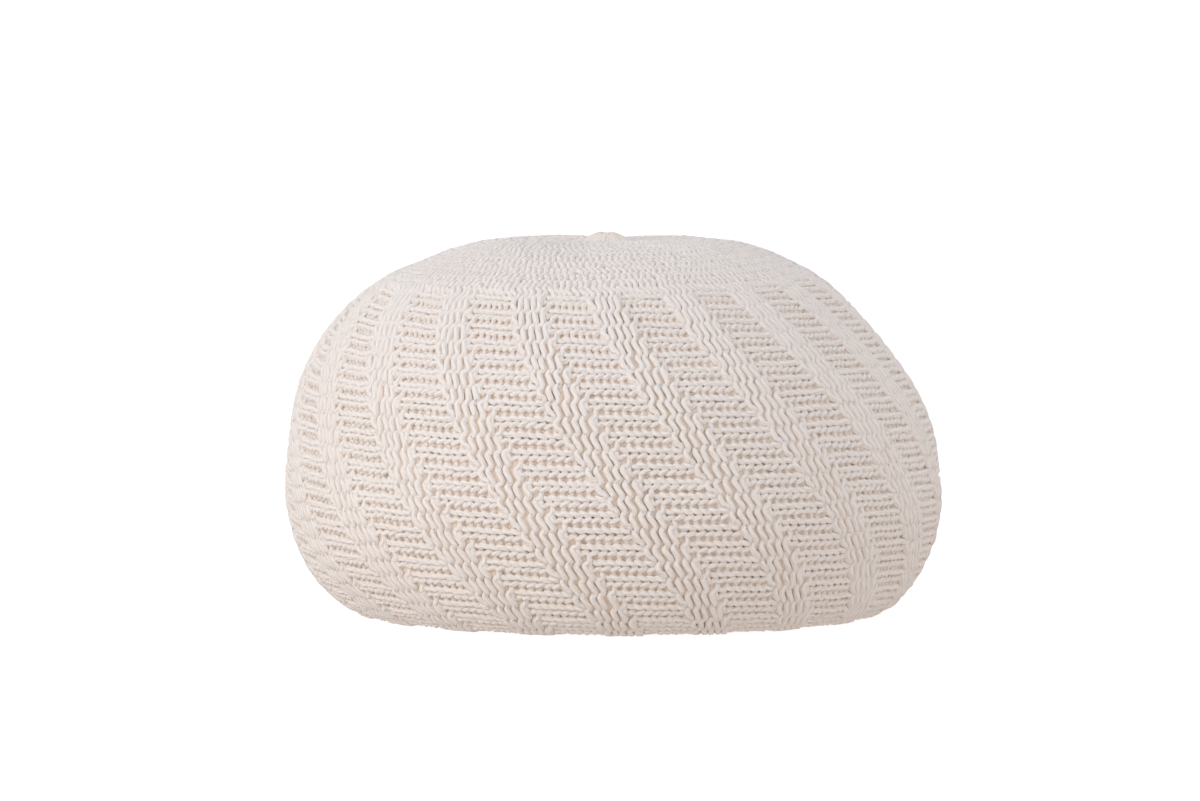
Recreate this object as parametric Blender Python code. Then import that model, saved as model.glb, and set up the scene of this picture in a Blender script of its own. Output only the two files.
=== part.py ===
"""Squat knitted floor pouf: one filled body with slanted raised bands and a gathered crown."""

import math
from collections import namedtuple

import bpy

# All lengths are metres, all angles degrees.

# Outline of the filled body from the floor edge to the top centre, lowest section first.
Section = namedtuple("Section", "height radius centre_x")
SECTIONS = (
    Section(height=0.0000, radius=0.2375, centre_x=0.0058),
    Section(height=0.0037, radius=0.2448, centre_x=0.0056),
    Section(height=0.0100, radius=0.2560, centre_x=0.0055),
    Section(height=0.0237, radius=0.2697, centre_x=0.0042),
    Section(height=0.0411, radius=0.2814, centre_x=0.0022),
    Section(height=0.0685, radius=0.2932, centre_x=0.0012),
    Section(height=0.1023, radius=0.3002, centre_x=0.0004),
    Section(height=0.1361, radius=0.2988, centre_x=-0.0005),
    Section(height=0.1708, radius=0.2933, centre_x=-0.0022),
    Section(height=0.2046, radius=0.2820, centre_x=-0.0060),
    Section(height=0.2384, radius=0.2633, centre_x=-0.0104),
    Section(height=0.2658, radius=0.2434, centre_x=-0.0123),
    Section(height=0.2895, radius=0.2209, centre_x=-0.0122),
    Section(height=0.3069, radius=0.1974, centre_x=-0.0110),
    Section(height=0.3206, radius=0.1683, centre_x=-0.0084),
    Section(height=0.3306, radius=0.1437, centre_x=-0.0070),
    Section(height=0.3370, radius=0.1170, centre_x=-0.0056),
    Section(height=0.3396, radius=0.0750, centre_x=-0.0056),
    Section(height=0.3405, radius=0.0350, centre_x=-0.0056),
    Section(height=0.3405, radius=0.0180, centre_x=-0.0056),
)

# Gathered nub at the top centre, outermost ring first.
NUB_SECTIONS = (
    Section(height=0.3427, radius=0.0140, centre_x=-0.0056),
    Section(height=0.3449, radius=0.0112, centre_x=-0.0056),
    Section(height=0.3455, radius=0.0080, centre_x=-0.0056),
    Section(height=0.3449, radius=0.0045, centre_x=-0.0056),
)
NUB_DIMPLE_HEIGHT = 0.3441
NUB_GATHERS = 12
NUB_GATHER_DEPTH = 0.07

# Raised bands of the side: each repeat of stitch columns has one band and one recessed panel.
REPEATS = 19
COURSES_PER_REPEAT = 12
BAND_COURSES = 5
BAND_RISE = 0.0026
BAND_EDGE_COURSES = 0.6

# Angle of the middle of a band at distances along the surface, measured up from the floor edge.
BandPoint = namedtuple("BandPoint", "distance angle")
BAND_PATH = (
    BandPoint(distance=0.000, angle=20.7),
    BandPoint(distance=0.040, angle=17.0),
    BandPoint(distance=0.070, angle=13.7),
    BandPoint(distance=0.100, angle=9.7),
    BandPoint(distance=0.130, angle=5.7),
    BandPoint(distance=0.160, angle=1.5),
    BandPoint(distance=0.190, angle=-2.3),
    BandPoint(distance=0.220, angle=-5.6),
    BandPoint(distance=0.250, angle=-8.3),
    BandPoint(distance=0.280, angle=-11.0),
    BandPoint(distance=0.310, angle=-14.0),
    BandPoint(distance=0.340, angle=-16.6),
    BandPoint(distance=0.370, angle=-19.2),
)

# The bands start at this distance and end at this height.
BAND_START = 0.012
BAND_END_HEIGHT = 0.3030
BAND_FADE = 0.010

ROW_PITCH = 0.0148
CURVE_STEPS = 24

YARN_COLOUR = (0.80, 0.745, 0.68, 1.0)
YARN_ROUGHNESS = 0.9


def clear_scene():
    for obj in list(bpy.data.objects):
        bpy.data.objects.remove(obj, do_unlink=True)


def make_material():
    material = bpy.data.materials.new("yarn")
    material.use_nodes = True
    shader = material.node_tree.nodes["Principled BSDF"]
    shader.inputs["Base Color"].default_value = YARN_COLOUR
    shader.inputs["Roughness"].default_value = YARN_ROUGHNESS
    material.diffuse_color = YARN_COLOUR
    return material


def hermite(left, right, slope_left, slope_right, span, t):
    """Cubic between two values whose slopes at the ends are known."""
    t2 = t * t
    t3 = t2 * t
    return ((2 * t3 - 3 * t2 + 1) * left + (t3 - 2 * t2 + t) * span * slope_left
            + (3 * t2 - 2 * t3) * right + (t3 - t2) * span * slope_right)


def smooth_outline():
    """Dense (distance, height, radius, centre_x) samples of a curve through the sections."""
    chords = [0.0]
    for low, high in zip(SECTIONS, SECTIONS[1:]):
        chords.append(chords[-1] + math.hypot(high.height - low.height, high.radius - low.radius))
    last = len(SECTIONS) - 1
    slopes = []
    for i in range(len(SECTIONS)):
        a = max(i - 1, 0)
        b = min(i + 1, last)
        span = chords[b] - chords[a]
        slopes.append([(SECTIONS[b][k] - SECTIONS[a][k]) / span for k in range(3)])
    slopes[0] = [0.0, 1.0, 0.0]
    samples = []
    for i in range(last):
        span = chords[i + 1] - chords[i]
        for step in range(CURVE_STEPS + (1 if i == last - 1 else 0)):
            t = step / CURVE_STEPS
            samples.append([hermite(SECTIONS[i][k], SECTIONS[i + 1][k],
                                    slopes[i][k], slopes[i + 1][k], span, t) for k in range(3)])
    outline = [(0.0, *samples[0])]
    for low, high in zip(samples, samples[1:]):
        run = math.hypot(high[0] - low[0], high[1] - low[1])
        outline.append((outline[-1][0] + run, *high))
    return outline


def at_distance(outline, distance):
    """Height, radius and centre of the outline at a distance along it."""
    for low, high in zip(outline, outline[1:]):
        if distance <= high[0]:
            t = (distance - low[0]) / (high[0] - low[0])
            return [low[k] + t * (high[k] - low[k]) for k in (1, 2, 3)]
    return list(outline[-1][1:])


def band_angle(distance):
    for low, high in zip(BAND_PATH, BAND_PATH[1:]):
        if distance <= high.distance:
            t = (distance - low.distance) / (high.distance - low.distance)
            return low.angle + t * (high.angle - low.angle)
    return BAND_PATH[-1].angle


def distance_at_height(outline, height):
    for low, high in zip(outline, outline[1:]):
        if low[1] <= height <= high[1]:
            return low[0] + (height - low[1]) / (high[1] - low[1]) * (high[0] - low[0])
    return outline[-1][0]


def smoothstep(value):
    value = min(max(value, 0.0), 1.0)
    return value * value * (3 - 2 * value)


def column_offsets():
    """Course positions of the mesh columns in one repeat, and how far each one is raised."""
    half = BAND_COURSES / 2
    edge = BAND_EDGE_COURSES
    return (
        (-half - edge / 2, 0.0),
        (-half + edge / 2, 1.0),
        (0.0, 1.0),
        (half - edge / 2, 1.0),
        (half + edge / 2, 0.0),
        (COURSES_PER_REPEAT / 2, 0.0),
    )


def row_distances(total, band_end):
    """Distances of the mesh rows, with rows on both sides of each end of the bands."""
    stops = (0.0, BAND_START, BAND_START + BAND_FADE, band_end - BAND_FADE, band_end, total)
    rows = [0.0]
    for low, high in zip(stops, stops[1:]):
        count = max(1, round((high - low) / ROW_PITCH))
        rows += [low + (high - low) * (i + 1) / count for i in range(count)]
    return rows


def ring(height, radii, angles, centre_x):
    return [(centre_x + r * math.sin(math.radians(a)), -r * math.cos(math.radians(a)), height)
            for r, a in zip(radii, angles)]


def body_rings():
    outline = smooth_outline()
    total = outline[-1][0]
    band_end = distance_at_height(outline, BAND_END_HEIGHT)
    course_angle = 360.0 / (REPEATS * COURSES_PER_REPEAT)
    columns = [((k * COURSES_PER_REPEAT + offset) * course_angle, raised)
               for k in range(REPEATS) for offset, raised in column_offsets()]
    rings = []
    angles = []
    for distance in row_distances(total, band_end):
        height, radius, centre_x = at_distance(outline, distance)
        along = min(max(distance, BAND_START), band_end)
        slant = band_angle(along)
        angles = [angle + slant for angle, raised in columns]
        inside = (smoothstep((distance - BAND_START) / BAND_FADE)
                  * smoothstep((band_end - distance) / BAND_FADE))
        ahead = at_distance(outline, min(distance + 0.001, total))
        behind = at_distance(outline, max(distance - 0.001, 0.0))
        run = math.hypot(ahead[0] - behind[0], ahead[1] - behind[1])
        outward = (ahead[0] - behind[0]) / run
        upward = -(ahead[1] - behind[1]) / run
        points = []
        for angle, raised in zip(angles, (raised for _, raised in columns)):
            sink = BAND_RISE * inside * (1.0 - raised)
            r = radius - sink * outward
            turn = math.radians(angle)
            points.append((centre_x + r * math.sin(turn), -r * math.cos(turn),
                           height - sink * upward))
        rings.append(points)
    for section in NUB_SECTIONS:
        radii = [section.radius * (1 + NUB_GATHER_DEPTH * math.cos(math.radians(angle) * NUB_GATHERS))
                 for angle in angles]
        rings.append(ring(section.height, radii, angles, section.centre_x))
    return rings


def centre_on_origin(points):
    """Moves the points so the middle of their footprint is over the origin."""
    shift = [(min(p[k] for p in points) + max(p[k] for p in points)) / 2 for k in (0, 1)]
    return [(p[0] - shift[0], p[1] - shift[1], p[2]) for p in points]


def build_body():
    rings = body_rings()
    count = len(rings[0])
    points = [point for row in rings for point in row]
    points.append((SECTIONS[0].centre_x, 0.0, 0.0))
    points.append((NUB_SECTIONS[-1].centre_x, 0.0, NUB_DIMPLE_HEIGHT))
    base_centre = len(points) - 2
    top_centre = len(points) - 1
    faces = []
    for row in range(len(rings) - 1):
        for i in range(count):
            j = (i + 1) % count
            low = row * count
            high = low + count
            faces.append((low + i, low + j, high + j, high + i))
    top = (len(rings) - 1) * count
    for i in range(count):
        j = (i + 1) % count
        faces.append((base_centre, j, i))
        faces.append((top_centre, top + i, top + j))
    mesh = bpy.data.meshes.new("knitted_body")
    mesh.from_pydata(centre_on_origin(points), [], faces)
    mesh.validate()
    mesh.materials.append(make_material())
    mesh.shade_smooth()
    return bpy.data.objects.new("knitted_body", mesh)


def main():
    clear_scene()
    collection = bpy.data.collections.new("pouf")
    bpy.context.scene.collection.children.link(collection)
    collection.objects.link(build_body())


main()
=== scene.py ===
import math
from collections import namedtuple

import bpy
import numpy as np
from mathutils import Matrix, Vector


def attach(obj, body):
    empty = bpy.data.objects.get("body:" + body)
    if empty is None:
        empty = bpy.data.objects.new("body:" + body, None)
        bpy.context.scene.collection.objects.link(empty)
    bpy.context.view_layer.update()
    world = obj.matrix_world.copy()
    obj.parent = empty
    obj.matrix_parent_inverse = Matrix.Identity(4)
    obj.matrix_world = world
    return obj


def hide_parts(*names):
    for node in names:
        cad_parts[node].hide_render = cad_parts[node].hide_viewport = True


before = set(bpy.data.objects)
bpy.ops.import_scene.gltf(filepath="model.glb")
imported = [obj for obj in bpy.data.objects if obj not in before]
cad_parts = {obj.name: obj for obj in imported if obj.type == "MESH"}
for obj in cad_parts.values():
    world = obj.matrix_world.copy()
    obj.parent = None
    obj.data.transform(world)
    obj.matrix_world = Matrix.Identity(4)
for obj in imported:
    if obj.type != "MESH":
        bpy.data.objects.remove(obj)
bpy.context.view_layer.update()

rng = np.random.default_rng(41)

# Lengths are metres and angles are degrees, where nothing else is said.
# Angles run round the pouf from the front, towards +X first.

# Outline of the filled body, from the floor edge to the top centre.
Section = namedtuple("Section", "height radius centre_x")
SECTIONS = np.array((
    Section(height=0.0000, radius=0.2375, centre_x=0.0058),
    Section(height=0.0037, radius=0.2448, centre_x=0.0056),
    Section(height=0.0100, radius=0.2560, centre_x=0.0055),
    Section(height=0.0237, radius=0.2697, centre_x=0.0042),
    Section(height=0.0411, radius=0.2814, centre_x=0.0022),
    Section(height=0.0685, radius=0.2932, centre_x=0.0012),
    Section(height=0.1023, radius=0.3002, centre_x=0.0004),
    Section(height=0.1361, radius=0.2988, centre_x=-0.0005),
    Section(height=0.1708, radius=0.2933, centre_x=-0.0022),
    Section(height=0.2046, radius=0.2820, centre_x=-0.0060),
    Section(height=0.2384, radius=0.2633, centre_x=-0.0104),
    Section(height=0.2658, radius=0.2434, centre_x=-0.0123),
    Section(height=0.2895, radius=0.2209, centre_x=-0.0122),
    Section(height=0.3069, radius=0.1974, centre_x=-0.0110),
    Section(height=0.3206, radius=0.1683, centre_x=-0.0084),
    Section(height=0.3306, radius=0.1437, centre_x=-0.0070),
    Section(height=0.3370, radius=0.1170, centre_x=-0.0056),
    Section(height=0.3396, radius=0.0750, centre_x=-0.0056),
    Section(height=0.3405, radius=0.0350, centre_x=-0.0056),
    Section(height=0.3405, radius=0.0000, centre_x=-0.0056),
))
FLOOR_R = SECTIONS[0, 1]
CURVE_STEPS = 24
UNDER_STEPS = 40

# The knit runs sideways: its courses climb from base to crown, and its wales are rings.
COURSES = 228
REPEAT = 12             # courses from one purl band to the next
BAND = 5                # purl courses in a band
CROWN_WALES = 15
BASE_WALES = 13
COURSE_DEG = 360.0 / COURSES

# Distances up the outline between the wales of the side.
EDGES = np.array((
    -0.0178, -0.0008, 0.0162, 0.0332, 0.0503, 0.0662, 0.0818, 0.0970, 0.1122, 0.1279,
    0.1430, 0.1566, 0.1698, 0.1841, 0.1990, 0.2141, 0.2295, 0.2452, 0.2600, 0.2751,
    0.2910, 0.3073, 0.3246, 0.3426, 0.3619,
))
SIDE_WALES = len(EDGES) - 1
SIDE_START = float(EDGES[0])
SIDE_END = float(EDGES[-1])

# Angle of the middle of a band at distances up the outline.
BandPoint = namedtuple("BandPoint", "distance angle")
BAND_PATH = np.array((
    BandPoint(distance=-0.02, angle=22.5),
    BandPoint(distance=0.04, angle=17.0),
    BandPoint(distance=0.07, angle=13.7),
    BandPoint(distance=0.10, angle=9.7),
    BandPoint(distance=0.13, angle=5.7),
    BandPoint(distance=0.16, angle=1.5),
    BandPoint(distance=0.19, angle=-2.3),
    BandPoint(distance=0.22, angle=-5.55),
    BandPoint(distance=0.25, angle=-8.3),
    BandPoint(distance=0.28, angle=-11.0),
    BandPoint(distance=0.31, angle=-14.0),
    BandPoint(distance=0.34, angle=-16.6),
    BandPoint(distance=0.37, angle=-19.2),
))

# Slow unevenness of the filled body.
TILT = 0.0062           # how far the wales climb towards the right side
TILT_BASE_FADE = 0.09
TILT_TOP_FADE = 0.13
Lump = namedtuple("Lump", "waves twist phase weight")
LUMPS = (
    Lump(waves=3, twist=9, phase=0.6, weight=1.0),
    Lump(waves=5, twist=-21, phase=2.0, weight=0.7),
    Lump(waves=8, twist=31, phase=0.0, weight=0.6),
)
LUMP_H = 0.0007
LUMP_BASE_FADE = 0.08
LUMP_TOP_FADE = 0.10
SKIN_LIFT = 0.0002
SHOULDER_LIFT = 0.0014
SHOULDER_START = 0.10   # distance from the top centre
SHOULDER_FADE = 0.12
CROWN_LIFT = 0.0020     # the crown is full round the nub, and dips behind it
CROWN_DIP = 0.0054
CROWN_RING = 0.092      # distance from the top centre
CROWN_WIDTH = 0.042
DIP_ANGLE = 177
DIP_SPREAD = 18

# Yarn and stitches.
YARN_R = 0.00296
LOOP_H = 1.50           # height of a loop in course pitches
LOOP_A = 0.0030         # how far a loop bulges past its foot
LOOP_E = 0.0009         # how far its legs are drawn together at half height
LOOP_LEAN = 0.6         # share of a loop's reach across the courses that counts for its band
FACE_KEPT = 0.55        # share of a stitch before the face of the next wale begins
DEEP_SHARE = 0.6        # how much of the weave's depth its sunk parts keep
PURL_BESIDE_KNIT = -0.1 # how far the head of a knit loop sinks where it meets a purl course
PURL_SHIFT = 0.18       # wales by which the feet of a purl loop lie lower than its head
PURL_TILT = 0.5         # how far a purl stitch rises in its lower half and dips in its upper
PURL_SWING = 0.31       # how much of the loop height a purl stitch of the bands shows
PURL_LIFT = 0.2         # lift and wave of the strands of the bands, in parts of the depth
PURL_WAVE = 0.22
DEPTH = 0.0022          # half the depth that a strand weaves through
PLAIN_DEPTH = 0.35      # how much less deep it weaves on the crown and the underside
PLAIN_SHIFT = 0.5       # how much less the purl loops lean there
CROWN_START = 1.0       # wales below the crown at which its plain knit begins to show
CROWN_FADE = 2.5
BASE_START = 0.5
BASE_FADE = 2.0
RISE = 0.0018           # how far the purl bands stand above the knit panels
BAND_EDGE = 0.3         # courses by which the slope to a panel begins inside the band
BAND_SLOPE = 0.9
PANEL_FADE = 0.8        # wales in which a panel sinks in at its ends
PANEL_LOW = -0.9
PANEL_HIGH = SIDE_WALES - 0.1
BAND_FAT = 0.14         # how much thicker the strands are in the bands
PLAIN_FAT = 0.06        # and on the crown and the underside
SWAY = 0.0008           # how far the wales fall across a panel and rise again over a band
SWAY_ABOVE = 0.0006     # how much more they do so higher up
SWAY_START = 0.22
SWAY_FADE = 0.12
SWAY_LOW_FADE = 2.0     # wales above the base in which the sway sets in
TOP_END_SINK = (0.0010, 0.0022, 0.0038)
LOW_END_SINK = (0.0055, 0.0035, 0.0015)

# Uneven knitting: how large each kind is, and how many points of a strand it takes to change.
Noise = namedtuple("Noise", "size points")
LOOP_NOISE = Noise(size=0.06, points=7)
HEIGHT_NOISE = Noise(size=0.00022, points=5)
ALONG_NOISE = Noise(size=0.0004, points=7)
AROUND_NOISE = Noise(size=0.00036, points=7)
YARN_NOISE = Noise(size=0.03, points=6)
BAND_ALONG = 0.8        # how much more uneven the bands are along a strand
BAND_AROUND = 0.6
NOISE_R = 0.25          # radius at which unevenness round the pouf becomes an angle

# Points of a strand in each wale, sides of its tube, and pieces that share the strands.
SIDE_POINTS = 12
CROWN_POINTS = 10
BASE_POINTS = 5
SIDES = 5
PIECES = 6

# Gathered nub at the top centre, from its foot to its dimple.
NubPoint = namedtuple("NubPoint", "radius rise")
NUB_PATH = np.array((
    NubPoint(radius=0.0230, rise=-0.0032),
    NubPoint(radius=0.0198, rise=-0.0006),
    NubPoint(radius=0.0170, rise=0.0012),
    NubPoint(radius=0.0140, rise=0.0030),
    NubPoint(radius=0.0112, rise=0.0043),
    NubPoint(radius=0.0086, rise=0.0051),
    NubPoint(radius=0.0062, rise=0.0055),
    NubPoint(radius=0.0042, rise=0.0052),
    NubPoint(radius=0.0026, rise=0.0044),
    NubPoint(radius=0.0013, rise=0.0037),
))
NUB_R = 0.0135          # radius at which the wales of the crown and the underside end
NUB_STRANDS = 12
NUB_FACETS = 8          # mesh columns for each gathered strand
NUB_LOBE = 0.0011       # how far its strands stand out, and the radius below which that shrinks
NUB_LOBE_R = 0.004
NUB_LOBE_RISE = 0.12
NUB_FOLD_MEAN = 0.6
NUB_TWIST = 9
NUB_WAVES = (0.0004, 0.0003)

# Fabric under the strands.
GROUND = 0.0052         # how deep it lies on the bands
GROUND_SINK = 0.0024    # how much deeper it lies in the panels
GROUND_ROWS = 72
GROUND_END = 0.004      # how near it comes to the centre of the base and of the top

# The order in which the courses of a repeat stop short on the crown and the underside.
DROP = (5, 11, 2, 8, 0, 6, 3, 9, 1, 7, 4, 10)
LAST_STOP_R = 0.02      # radius where the last course of every second repeat stops


def step(x):
    """Smooth step from 0 to 1 as x goes from 0 to 1."""
    x = np.clip(x, 0, 1)
    return x * x * (3 - 2 * x)


def bell(x):
    return np.exp(-x * x)


def outline():
    """Distance, height, radius and centre along a smooth curve from the base centre to the top."""
    p = SECTIONS
    last = len(p) - 1
    chord = np.r_[0, np.cumsum(np.hypot(*np.diff(p[:, :2], axis=0).T))]
    slope = np.zeros_like(p)
    for i in range(len(p)):
        a = max(i - 1, 0)
        b = min(i + 1, last)
        slope[i] = (p[b] - p[a]) / (chord[b] - chord[a])
    slope[0] = (0, 1, 0)
    slope[-1] = (0, -1, 0)
    t = np.arange(CURVE_STEPS)[:, None] / CURVE_STEPS
    parts = []
    for i in range(last):
        span = chord[i + 1] - chord[i]
        parts.append((2 * t**3 - 3 * t**2 + 1) * p[i] + (t**3 - 2 * t**2 + t) * span * slope[i]
                     + (3 * t**2 - 2 * t**3) * p[i + 1] + (t**3 - t**2) * span * slope[i + 1])
    under = np.zeros((UNDER_STEPS, 3))
    under[:, 1] = FLOOR_R * np.arange(UNDER_STEPS) / UNDER_STEPS
    under[:, 2] = p[0, 2]
    points = np.concatenate([under, *parts, p[-1:]])
    run = np.r_[0, np.cumsum(np.hypot(*np.diff(points[:, :2], axis=0).T))] - FLOOR_R
    return run, points[:, 0], points[:, 1], points[:, 2]


def smoothed(values):
    """Running mean of five samples, with both ends held."""
    return np.convolve(np.pad(values, 2, mode="edge"), np.ones(5) / 5, "valid")


def outline_normals():
    """Outward and upward parts of the normal at each sample of the outline."""
    up = -smoothed(np.gradient(RADIUS, RUN))
    out = smoothed(np.gradient(HEIGHT, RUN))
    length = np.hypot(up, out)
    return out / length, up / length


RUN, HEIGHT, RADIUS, CENTRE = outline()
CENTRE = CENTRE - ((CENTRE + RADIUS).max() + (CENTRE - RADIUS).min()) / 2
NORMAL_OUT, NORMAL_UP = outline_normals()
TOP = RUN[-1]
CROWN_WALE = (TOP - NUB_R - SIDE_END) / CROWN_WALES
BASE_WALE = (SIDE_START + FLOOR_R - NUB_R) / BASE_WALES


def s_of(b):
    """Distance up the outline of a wale coordinate, whose whole numbers are wale middles."""
    side = np.interp(b + 0.5, np.arange(SIDE_WALES + 1), EDGES)
    up = SIDE_END + (b - SIDE_WALES + 0.5) * CROWN_WALE
    down = SIDE_START + (b + 0.5) * BASE_WALE
    return np.where(b > SIDE_WALES - 0.5, up, np.where(b < -0.5, down, side))


def turn(s):
    """How far the courses have turned at a distance up the outline."""
    s = np.clip(s, SIDE_START, SIDE_END)
    wales = np.interp(s, EDGES, np.arange(SIDE_WALES + 1)) - 0.5
    return np.interp(s, *BAND_PATH.T) - (BAND / 2 - wales) * COURSE_DEG


def place(deg, s, h):
    """Points and normals at an angle, a distance up the outline and a height off its surface."""
    a = np.radians(deg)
    tilt = TILT * np.sin(a) * step(s / TILT_BASE_FADE) * step((TOP - s) / TILT_TOP_FADE)
    s = np.clip(s + tilt, RUN[0], TOP)
    height, radius, centre, out, up = (
        np.interp(s, RUN, values) for values in (HEIGHT, RADIUS, CENTRE, NORMAL_OUT, NORMAL_UP))
    lump = sum(wave.weight * np.sin(wave.waves * a + wave.twist * s + wave.phase) for wave in LUMPS)
    lump = LUMP_H * lump * step(s / LUMP_BASE_FADE) * step((TOP - s) / LUMP_TOP_FADE)
    shoulder = SHOULDER_LIFT * step((TOP - s - SHOULDER_START) / SHOULDER_FADE)
    behind = bell((deg % 360 - DIP_ANGLE) / DIP_SPREAD)
    crown = (CROWN_LIFT - CROWN_DIP * behind) * bell((TOP - s - CROWN_RING) / CROWN_WIDTH)
    h = h + lump + SKIN_LIFT + shoulder + crown
    r = radius + h * out
    points = np.stack([centre + r * np.sin(a), -r * np.cos(a), height + h * up], -1)
    normals = np.stack([out * np.sin(a), -out * np.cos(a), up], -1)
    return points, normals


def reach():
    """The lowest and the highest wale of each course, which stop short one after another."""
    crown_r = float(np.interp(SIDE_END, RUN, RADIUS))
    base_r = float(np.interp(SIDE_START, RUN, RADIUS))
    up_r = np.interp(s_of(SIDE_WALES + np.arange(CROWN_WALES, dtype=float)), RUN, RADIUS)
    down_r = np.interp(s_of(-1.0 - np.arange(BASE_WALES)), RUN, RADIUS)
    lowest = np.zeros(COURSES, int)
    highest = np.zeros(COURSES, int)
    for i in range(COURSES):
        wedge, k = divmod(i, REPEAT)
        odd = wedge % 2
        stop = DROP.index((k + odd * REPEAT // 2) % REPEAT) + 1
        left = (REPEAT - stop + 0.5 + 0.5 * odd) / REPEAT
        if stop == REPEAT:
            left = odd * LAST_STOP_R / crown_r
        highest[i] = SIDE_WALES - 1 + int((up_r >= crown_r * left).sum())
        lowest[i] = -int((down_r >= base_r * left).sum())
    return lowest, highest


def course_angles():
    """Angle of each course at each wale before it turns, and the courses' pitch there."""
    wales = np.arange(-BASE_WALES, SIDE_WALES + CROWN_WALES)
    own = (np.arange(COURSES) + 0.5) * COURSE_DEG
    angles = np.full((COURSES, len(wales)), np.nan)
    pitches = np.zeros(len(wales))
    for n, wale in enumerate(wales):
        present = np.nonzero((LOWEST <= wale) & (HIGHEST >= wale))[0]
        pitches[n] = 360.0 / len(present)
        even = (np.arange(len(present)) + 0.5) * pitches[n]
        angles[present, n] = even + (own[present] - even).mean()
    return angles, pitches


LOWEST, HIGHEST = reach()
ANGLES, PITCHES = course_angles()


def knit(i, j):
    """1 where course i is knit at wale j, and -1 where it is purl."""
    inside = (j >= 0) & (j < SIDE_WALES)
    purl = ((i + j) % REPEAT) < BAND
    return np.where(inside & ~purl, 1.0, -1.0)


def sunk(phase, b):
    """How far down the knit panels lie: 0 on the bands, the crown and the base, 1 at most."""
    a = (phase - (BAND / 2 - 0.5)) % REPEAT
    panel = step((np.minimum(a, REPEAT - a) - (BAND / 2 - BAND_EDGE)) / BAND_SLOPE)
    return panel * step((b - PANEL_LOW) / PANEL_FADE) * step((PANEL_HIGH - b) / PANEL_FADE)


def uneven(count, noise):
    """Random offsets that change gradually along a strand of so many points."""
    knots = max(int(count / noise.points), 2) + 2
    values = rng.normal(0, noise.size, knots)
    return np.interp(np.linspace(0, knots - 1, count), np.arange(knots), values)


def strand(i):
    """Centreline, surface normals and relative thickness of one course, from base to crown."""
    wales = np.arange(LOWEST[i], HIGHEST[i] + 1)
    per = np.where(wales < 0, BASE_POINTS, np.where(wales < SIDE_WALES, SIDE_POINTS, CROWN_POINTS))
    t = np.concatenate([-math.pi + 2 * math.pi * np.arange(p) / p for p in per])
    j = np.repeat(wales, per)
    middle = j + t / (2 * math.pi)

    # which face shows here, and how much of it is purl
    here = knit(i, j)
    above = knit(i, j + 1)
    below = knit(i, j - 1)
    beside = knit(i - 1, j)
    beside = np.where((here > 0) & (beside < 0), PURL_BESIDE_KNIT, beside)
    edge = 0.5 * step((np.abs(t) / math.pi - FACE_KEPT) / (1 - FACE_KEPT))
    foot = here + np.where(t > 0, above - here, below - here) * edge
    purl = (1 - foot) / 2
    plain = step((middle - SIDE_WALES + CROWN_START) / CROWN_FADE)
    plain = plain + step((-BASE_START - middle) / BASE_FADE)
    banded = purl * (1 - plain)

    # the loop's path along the strand, across it and in depth
    width = s_of(j + 0.5) - s_of(j - 0.5)
    bulge = (LOOP_A * np.sin(2 * t) - LOOP_E * np.sin(t)) * (1 - banded) / width
    b = middle + bulge - PURL_SHIFT * (1 - np.cos(t)) / 2 * purl * (1 - PLAIN_SHIFT * plain)
    size = 1 + uneven(len(t), LOOP_NOISE)
    y = 0.5 * LOOP_H * np.cos(t) * size * (1 - (1 - PURL_SWING) * banded)
    over = step(np.cos(t) + 0.5)
    z = -np.cos(2 * t) * (foot * (1 - over) + beside * over)
    z = np.where(z < 0, DEEP_SHARE * z, z) - PURL_TILT * purl * np.sin(t)
    z = z * (1 - banded) + (PURL_LIFT - PURL_WAVE * np.sin(t)) * banded
    phase = i + b - y * LOOP_LEAN
    low = sunk(phase, b)
    h = -(YARN_R + DEPTH) - RISE * low + DEPTH * (1 - PLAIN_DEPTH * plain) * z
    h = h + uneven(len(t), HEIGHT_NOISE)

    # a course that stops short turns down into the fabric
    h[-3:] -= TOP_END_SINK
    h[:3] -= LOW_END_SINK

    # the wales sway as they cross the panels and the bands
    s = s_of(b)
    round_repeat = (phase - (BAND / 2 - 0.5 + REPEAT / 2)) / REPEAT
    sway = (SWAY + SWAY_ABOVE * step((s - SWAY_START) / SWAY_FADE)) * (1 - plain)
    sway = sway * step((b + 1) / SWAY_LOW_FADE)
    s = s - sway * np.sin(2 * math.pi * round_repeat)
    s = s + uneven(len(t), ALONG_NOISE) * (1 + BAND_ALONG * banded)

    base = np.interp(b, wales, ANGLES[i, wales + BASE_WALES])
    pitch = np.interp(b, wales, PITCHES[wales + BASE_WALES])
    aside = uneven(len(t), AROUND_NOISE) * (1 + BAND_AROUND * banded)
    deg = base + turn(s) - y * pitch + np.degrees(aside / NOISE_R)
    points, normals = place(deg, s, h)
    return points, normals, 1 + PLAIN_FAT * plain + BAND_FAT * (1 - low) * (1 - plain)


def tube(points, normals, radius):
    """Rings round a strand, whose sides keep the same places towards the surface."""
    along = np.gradient(points, axis=0)
    along /= np.linalg.norm(along, axis=1, keepdims=True)
    across = np.cross(along, normals)
    across /= np.maximum(np.linalg.norm(across, axis=1, keepdims=True), 1e-9)
    out = np.cross(across, along)
    angle = 2 * math.pi * (np.arange(SIDES) + 0.5) / SIDES
    spokes = (np.cos(angle)[None, :, None] * out[:, None]
              + np.sin(angle)[None, :, None] * across[:, None])
    rings = points[:, None] + radius[:, None, None] * spokes
    rings[..., 2] = np.maximum(rings[..., 2], 0.0)
    return rings


def add_object(name, mesh):
    obj = bpy.data.objects.new(name, mesh)
    bpy.context.scene.collection.objects.link(obj)
    return obj


def map_corners(grid):
    """The four map corners of every face between rings, from a grid of map points."""
    corners = (grid[:-1, :-1], grid[:-1, 1:], grid[1:, 1:], grid[1:, :-1])
    return np.stack(corners, 2).reshape(-1, 4, 2)


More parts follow.
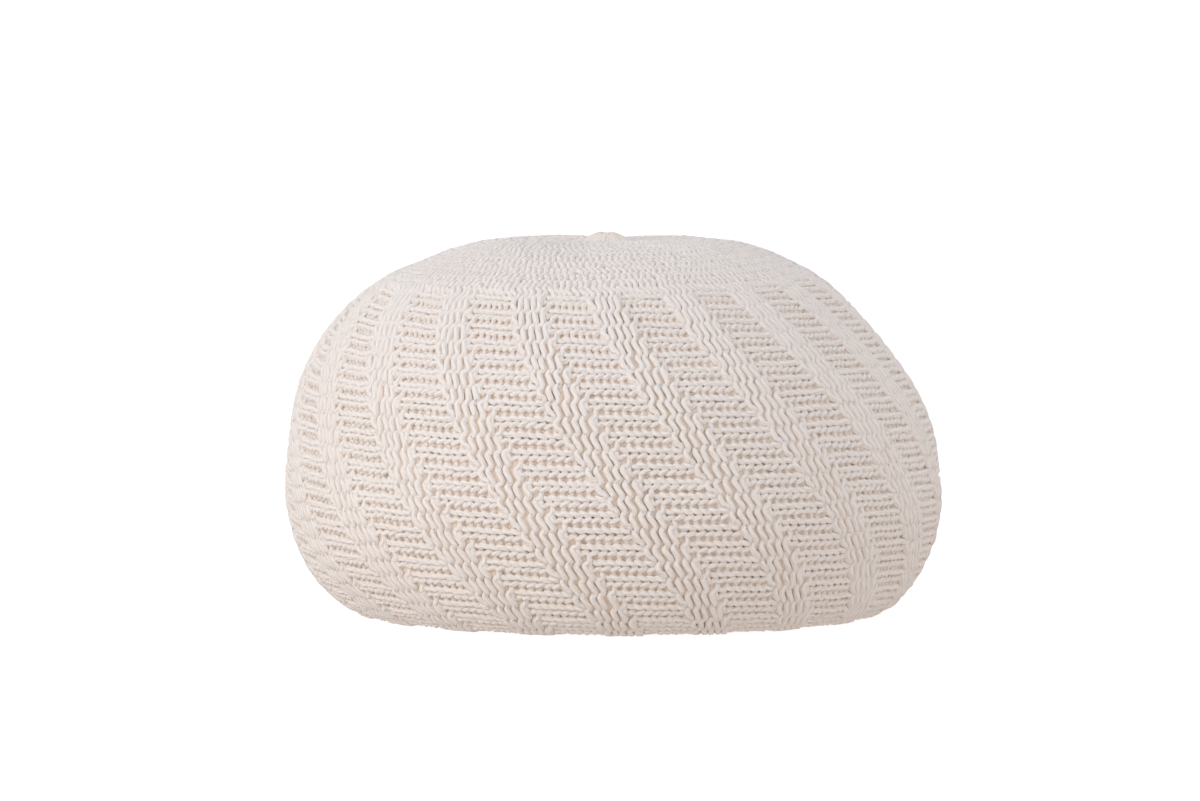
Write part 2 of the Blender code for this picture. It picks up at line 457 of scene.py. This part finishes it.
# The bake map gives each strand of a piece a strip, with a dot at each end for its caps.
STRIP_GAP = 0.06
STRIP_START = 0.005
STRIP_RUN = 0.985
CAP_PLACES = (0.0025, 0.9955)
CAP_DOT = 0.0012
CAP_YARN_DOT = 0.1


def yarn_piece(number):
    """One share of the strands as a mesh, with the yarn's own map and a bake map."""
    count = COURSES // PIECES
    around = np.arange(SIDES + 1) / SIDES
    angle = 2 * math.pi * np.arange(SIDES) / SIDES
    dot = np.stack([np.cos(angle), np.sin(angle)], -1)
    k = np.arange(SIDES)[None]
    k2 = (k + 1) % SIDES
    verts, quads, caps = [], [], []
    quad_maps = {"strand": [], "OFBake": []}
    cap_maps = {"strand": [], "OFBake": []}
    first = 0
    for m in range(count):
        points, normals, fat = strand(number * count + m)
        n = len(points)
        radius = YARN_R * fat * (1 + uneven(n, YARN_NOISE))
        verts.append(tube(points, normals, radius).reshape(-1, 3))
        a = first + np.arange(n - 1)[:, None] * SIDES
        quads.append(np.stack([a + k, a + k2, a + SIDES + k2, a + SIDES + k], -1).reshape(-1, 4))
        caps += [first + k[0][::-1], first + (n - 1) * SIDES + k[0]]
        first += n * SIDES

        run = np.r_[0, np.cumsum(np.linalg.norm(np.diff(points, axis=0), axis=1))]
        turns = run / (2 * math.pi * YARN_R)
        line = STRIP_START + STRIP_RUN * run / run[-1]
        strip = (m + STRIP_GAP + (1 - 2 * STRIP_GAP) * around) / count
        strand_grid = np.broadcast_arrays(around[None], turns[:, None])
        bake_grid = np.broadcast_arrays(line[:, None], strip[None])
        quad_maps["strand"].append(map_corners(np.stack(strand_grid, -1)))
        quad_maps["OFBake"].append(map_corners(np.stack(bake_grid, -1)))
        cap_maps["strand"] += [0.5 + CAP_YARN_DOT * dot] * 2
        cap_maps["OFBake"] += [np.array([x, (m + 0.5) / count]) + CAP_DOT * dot for x in CAP_PLACES]
    maps = {name: np.concatenate([np.concatenate(quad_maps[name]).reshape(-1, 2),
                                  np.concatenate(cap_maps[name])]) for name in quad_maps}
    mesh = strand_mesh(f"knit_panel_{number + 1}", np.concatenate(verts), np.concatenate(quads),
                       np.array(caps), maps)
    return add_object(mesh.name, mesh)


def strand_mesh(name, verts, quads, caps, maps):
    """A mesh from the strands' rings, their end caps and the maps of all the corners."""
    mesh = bpy.data.meshes.new(name)
    mesh.vertices.add(len(verts))
    mesh.vertices.foreach_set("co", verts.astype(np.float32).ravel())
    loops = np.concatenate([quads.ravel(), caps.ravel()])
    mesh.loops.add(len(loops))
    mesh.loops.foreach_set("vertex_index", loops.astype(np.int32))
    corners = np.r_[np.full(len(quads), 4), np.full(len(caps), SIDES)]
    mesh.polygons.add(len(corners))
    mesh.polygons.foreach_set("loop_start", np.r_[0, np.cumsum(corners)[:-1]].astype(np.int32))
    mesh.polygons.foreach_set("use_smooth", np.ones(len(corners), bool))
    mesh.update(calc_edges=True)
    for label, values in maps.items():
        layer = mesh.uv_layers.new(name=label)
        layer.data.foreach_set("uv", values.astype(np.float32).ravel())
    mesh.validate()
    return mesh


def nub_piece():
    """The gathered nub: the last strands drawn together over a low mound and down its middle."""
    cols = NUB_STRANDS * NUB_FACETS
    a = np.arange(cols) * 2 * math.pi / cols
    wave = NUB_WAVES[0] * np.sin(3 * a + 1.0) + NUB_WAVES[1] * np.sin(2 * a)
    verts = []
    for r, rise in NUB_PATH:
        fold = np.abs(np.cos(a * NUB_STRANDS / 2 + NUB_TWIST * r)) - NUB_FOLD_MEAN
        lobe = 1 + NUB_LOBE / max(r, NUB_LOBE_R) * fold
        z = HEIGHT[-1] + rise * (1 + NUB_LOBE_RISE * (lobe - 1)) + wave * (rise > 0)
        verts.append(np.stack([CENTRE[-1] + r * lobe * np.sin(a), -r * lobe * np.cos(a), z], -1))
    k = np.arange(cols)
    k2 = (k + 1) % cols
    last = len(NUB_PATH) - 1
    faces = []
    for m in range(last):
        low = m * cols
        high = low + cols
        faces += np.stack([low + k, low + k2, high + k2, high + k], -1).tolist()
    faces.append((last * cols + k).tolist())
    mesh = bpy.data.meshes.new("gathered_nub")
    mesh.from_pydata(np.concatenate(verts).tolist(), [], faces)
    run = np.r_[0, np.cumsum(np.hypot(*np.diff(NUB_PATH, axis=0).T))] / (2 * math.pi * YARN_R)
    corners = np.array([v for face in faces for v in face])
    layer = mesh.uv_layers.new(name="strand")
    uv = np.stack([corners % cols / NUB_FACETS, run[corners // cols]], -1)
    layer.data.foreach_set("uv", uv.astype(np.float32).ravel())
    mesh.shade_smooth()
    return add_object("gathered_nub", mesh)


def ground_piece():
    """The filled body just under the knit, which shows only between the strands."""
    s = np.linspace(-FLOOR_R + GROUND_END, TOP - GROUND_END, GROUND_ROWS)[:, None]
    course = np.arange(COURSES)[None]
    b = np.interp(s, EDGES, np.arange(SIDE_WALES + 1) - 0.5, left=-9, right=SIDE_WALES + 9)
    depth = GROUND + GROUND_SINK * sunk(course + b, b)
    points, _ = place((course + 0.5) * COURSE_DEG + turn(s), s + 0 * course, -depth)
    k = np.arange(COURSES)
    k2 = (k + 1) % COURSES
    faces = []
    for row in range(GROUND_ROWS - 1):
        low = row * COURSES
        high = low + COURSES
        faces += np.stack([low + k, low + k2, high + k2, high + k], -1).tolist()
    faces.append(k[::-1].tolist())
    faces.append(((GROUND_ROWS - 1) * COURSES + k).tolist())
    mesh = bpy.data.meshes.new("knit_ground")
    mesh.from_pydata(points.reshape(-1, 3).tolist(), [], faces)
    mesh.shade_smooth()
    return add_object("knit_ground", mesh)


# Yarn: three plies twisted round the strand, fine fuzz, slow blotches of colour, and painted shade
# in the ply grooves and on the strands' flanks.
PALE_YARN = (0.93, 0.872, 0.832, 1)
DARK_YARN = (0.87, 0.80, 0.745, 1)
# painted warm shade, multiplied onto the strands' flanks where the gaps between them are shaded
FLANK_SHADE_TINT = (1.0, 0.95, 0.89, 1)
FLANK_START = 0.12      # turns away from the strand's outer side
FLANK_END = 0.30
PLIES = 3.0
PLY_TWIST = 1.25
PLY_GROOVE = 0.30
# painted shade: how much darker the grooves between the plies are coloured
PLY_GROOVE_SHADE = 0.5
FUZZ_SCALE = 480.0
FUZZ_SHARE = 0.45
BLOTCH_SCALE = 14.0
YARN_BUMP = 0.55
YARN_BUMP_DEPTH = 0.0008

# Fabric under the strands, coloured a darker, warmer tan than the yarn as painted shade for the
# gaps between them.
SHADED_GROUND_DARK = (0.78, 0.66, 0.55, 1)
SHADED_GROUND_PALE = (0.86, 0.76, 0.66, 1)
GROUND_SCALE = 260.0
GROUND_BUMP = 0.4
GROUND_BUMP_DEPTH = 0.001


def nodes_of(name):
    mat = bpy.data.materials.new(name)
    mat.use_nodes = True
    return mat, mat.node_tree, mat.node_tree.nodes["Principled BSDF"]


def fill(tree, socket, value):
    """Gives a socket a number, a colour or the output of another node."""
    if isinstance(value, bpy.types.NodeSocket):
        tree.links.new(value, socket)
    else:
        socket.default_value = value


def math_node(tree, operation, *values):
    node = tree.nodes.new("ShaderNodeMath")
    node.operation = operation
    for socket, value in zip(node.inputs, values):
        fill(tree, socket, value)
    return node.outputs[0]


def rise_node(tree, value, start, end):
    """Smooth step from 0 to 1 as the value goes from start to end."""
    node = tree.nodes.new("ShaderNodeMapRange")
    node.interpolation_type = "SMOOTHSTEP"
    node.inputs["From Min"].default_value = start
    node.inputs["From Max"].default_value = end
    fill(tree, node.inputs["Value"], value)
    return node.outputs["Result"]


def noise_node(tree, scale, detail):
    coord = tree.nodes.new("ShaderNodeTexCoord")
    node = tree.nodes.new("ShaderNodeTexNoise")
    node.inputs["Scale"].default_value = scale
    node.inputs["Detail"].default_value = detail
    fill(tree, node.inputs["Vector"], coord.outputs["Object"])
    return node.outputs["Fac"]


def mix_node(tree, factor, low, high, blend="MIX"):
    node = tree.nodes.new("ShaderNodeMix")
    node.data_type = "RGBA"
    node.blend_type = blend
    fill(tree, node.inputs["Factor"], factor)
    fill(tree, node.inputs["A"], low)
    fill(tree, node.inputs["B"], high)
    return node.outputs["Result"]


def bump_node(tree, height, strength, distance):
    node = tree.nodes.new("ShaderNodeBump")
    node.inputs["Strength"].default_value = strength
    node.inputs["Distance"].default_value = distance
    fill(tree, node.inputs["Height"], height)
    return node.outputs["Normal"]


def yarn_material():
    mat, tree, shader = nodes_of("cream_yarn")
    uv = tree.nodes.new("ShaderNodeUVMap")
    uv.uv_map = "strand"
    split = tree.nodes.new("ShaderNodeSeparateXYZ")
    fill(tree, split.inputs[0], uv.outputs["UV"])
    around = split.outputs["X"]
    twist = math_node(tree, "MULTIPLY_ADD", split.outputs["Y"], PLY_TWIST,
                      math_node(tree, "MULTIPLY", around, PLIES))
    ply = rise_node(tree, math_node(tree, "PINGPONG", twist, 0.5), 0.0, PLY_GROOVE)
    fuzz = noise_node(tree, FUZZ_SCALE, 3.0)
    blotch = noise_node(tree, BLOTCH_SCALE, 4.0)
    height = math_node(tree, "MULTIPLY_ADD", fuzz, FUZZ_SHARE, ply)
    fill(tree, shader.inputs["Normal"], bump_node(tree, height, YARN_BUMP, YARN_BUMP_DEPTH))
    # painted shade in the ply grooves, mixed with slow random blotches of the yarn's own colour
    groove_shade_and_blotch = math_node(tree, "MULTIPLY_ADD", ply, PLY_GROOVE_SHADE, blotch)
    colour = mix_node(tree, groove_shade_and_blotch, DARK_YARN, PALE_YARN)

    # the outer side of a strand lies at 0.9 of a turn round it, and its flanks, which face into the
    # gaps between strands, get a painted warm shade
    inward = math_node(tree, "PINGPONG", math_node(tree, "ADD", around, 0.1), 0.5)
    flank_shade = rise_node(tree, inward, FLANK_START, FLANK_END)
    colour = mix_node(tree, flank_shade, colour, FLANK_SHADE_TINT, "MULTIPLY")
    fill(tree, shader.inputs["Base Color"], colour)
    shader.inputs["Roughness"].default_value = 0.92
    shader.inputs["Specular IOR Level"].default_value = 0.18
    shader.inputs["Sheen Weight"].default_value = 0.12
    shader.inputs["Sheen Roughness"].default_value = 0.5
    return mat


def ground_material():
    mat, tree, shader = nodes_of("knit_ground")
    noise = noise_node(tree, GROUND_SCALE, 4.0)
    # painted shade: the darker tan, with random blotches, stands in for the shade in the gaps
    # between the strands
    fill(tree, shader.inputs["Base Color"], mix_node(tree, noise, SHADED_GROUND_DARK, SHADED_GROUND_PALE))
    fill(tree, shader.inputs["Normal"], bump_node(tree, noise, GROUND_BUMP, GROUND_BUMP_DEPTH))
    shader.inputs["Roughness"].default_value = 0.95
    shader.inputs["Specular IOR Level"].default_value = 0.1
    return mat


def dress(piece, material):
    """Puts a piece on the part's one body, in the place of the plain knitted body."""
    piece.data.materials.append(material)
    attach(piece, "root")
    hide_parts("knitted_body")


yarn = yarn_material()
for number in range(PIECES):
    dress(yarn_piece(number), yarn)
dress(nub_piece(), yarn)
ground = ground_piece()
dress(ground, ground_material())

# Stage: a bright round floor and backdrop, which light nothing by diffuse bounce.
STAGE_R = 16.0
STAGE_H = 9.0
STAGE_SIDES = 60
STAGE_GREY = (0.45, 0.45, 0.45, 1)
WHITE = (1, 1, 1, 1)
FLOOR_GLOW = 0.80
BACKDROP_GLOW = 0.95


def stage_piece(name, points, faces, glow, matt):
    mat, _, shader = nodes_of(name + "_white")
    shader.inputs["Base Color"].default_value = STAGE_GREY
    if matt:
        shader.inputs["Roughness"].default_value = 1.0
        shader.inputs["Specular IOR Level"].default_value = 0.0
    shader.inputs["Emission Color"].default_value = WHITE
    shader.inputs["Emission Strength"].default_value = glow
    mesh = bpy.data.meshes.new(name)
    mesh.from_pydata(points, [], faces)
    mesh.materials.append(mat)
    obj = add_object(name, mesh)
    obj.visible_diffuse = False


def build_stage():
    turns = [2 * math.pi * k / STAGE_SIDES for k in range(STAGE_SIDES)]
    low = [(STAGE_R * math.cos(a), STAGE_R * math.sin(a), 0) for a in turns]
    high = [(x, y, STAGE_H) for x, y, _ in low]
    walls = []
    for k in range(STAGE_SIDES):
        k2 = (k + 1) % STAGE_SIDES
        walls.append((k, k2, k2 + STAGE_SIDES, k + STAGE_SIDES))
    stage_piece("floor", low, [tuple(range(STAGE_SIDES))], FLOOR_GLOW, True)
    stage_piece("backdrop", low + high, walls, BACKDROP_GLOW, False)


# Soft sky: warm from below, pale at the horizon and cool from above.
SkyStop = namedtuple("SkyStop", "height colour")
SKY_LOW = SkyStop(height=0.0, colour=(0.50, 0.43, 0.388, 1))
SKY_MIDDLE = SkyStop(height=0.5, colour=(0.82, 0.785, 0.76, 1))
SKY_HIGH = SkyStop(height=1.0, colour=(0.72, 0.745, 0.80, 1))


def build_sky():
    world = bpy.data.worlds.new("studio")
    bpy.context.scene.world = world
    world.use_nodes = True
    tree = world.node_tree
    coord = tree.nodes.new("ShaderNodeTexCoord")
    split = tree.nodes.new("ShaderNodeSeparateXYZ")
    fill(tree, split.inputs[0], coord.outputs["Generated"])
    ramp = tree.nodes.new("ShaderNodeValToRGB")
    stops = ramp.color_ramp.elements
    stops[0].position, stops[0].color = SKY_LOW
    stops[1].position, stops[1].color = SKY_HIGH
    stops.new(SKY_MIDDLE.height).color = SKY_MIDDLE.colour
    fill(tree, ramp.inputs["Fac"], math_node(tree, "MULTIPLY_ADD", split.outputs["Z"], 0.5, 0.5))
    background = tree.nodes["Background"]
    fill(tree, background.inputs["Color"], ramp.outputs["Color"])
    background.inputs["Strength"].default_value = 1.0


Lamp = namedtuple("Lamp", "name place size power")
LAMPS = (
    Lamp(name="key", place=(-3.2, -2.1, 1.15), size=2.2, power=35.5),
    Lamp(name="front_fill", place=(0.2, -4.0, 1.0), size=2.6, power=10),
)
LAMP_AIM = (0, 0, 0.15)


def add_lamp(lamp):
    """A round soft lamp that points at the pouf."""
    light = bpy.data.lights.new(lamp.name, "AREA")
    light.shape = "DISK"
    light.size = lamp.size
    light.energy = lamp.power
    obj = add_object(lamp.name, light)
    obj.location = lamp.place
    obj.rotation_euler = (Vector(LAMP_AIM) - Vector(lamp.place)).to_track_quat("-Z", "Y").to_euler()


# Camera: the pouf is 657 pixels wide in a picture of 1200, seen from far off and a little above.
PICTURE_PX = 1200
METRES_PER_PX = 0.60 / 657
CAMERA_FAR = 9000 * METRES_PER_PX
CAMERA_AIM_Z = 180 * METRES_PER_PX
CAMERA_ABOVE = math.radians(4.5)
CAMERA_SENSOR_MM = 36
CAMERA_LENS_MM = 270.0
SHIFT_X_PX = -13
SHIFT_Y_PX = 30.5


def build_camera():
    data = bpy.data.cameras.new("camera")
    data.sensor_width = CAMERA_SENSOR_MM
    data.lens = CAMERA_LENS_MM
    data.shift_x = SHIFT_X_PX / PICTURE_PX
    data.shift_y = SHIFT_Y_PX / PICTURE_PX
    camera = add_object("camera", data)
    camera.location = (0, -CAMERA_FAR * math.cos(CAMERA_ABOVE),
                       CAMERA_AIM_Z + CAMERA_FAR * math.sin(CAMERA_ABOVE))
    camera.rotation_euler = (math.pi / 2 - CAMERA_ABOVE, 0, 0)
    bpy.context.scene.camera = camera


build_stage()
build_sky()
for lamp in LAMPS:
    add_lamp(lamp)
build_camera()
bpy.context.scene.view_settings.view_transform = "Standard"
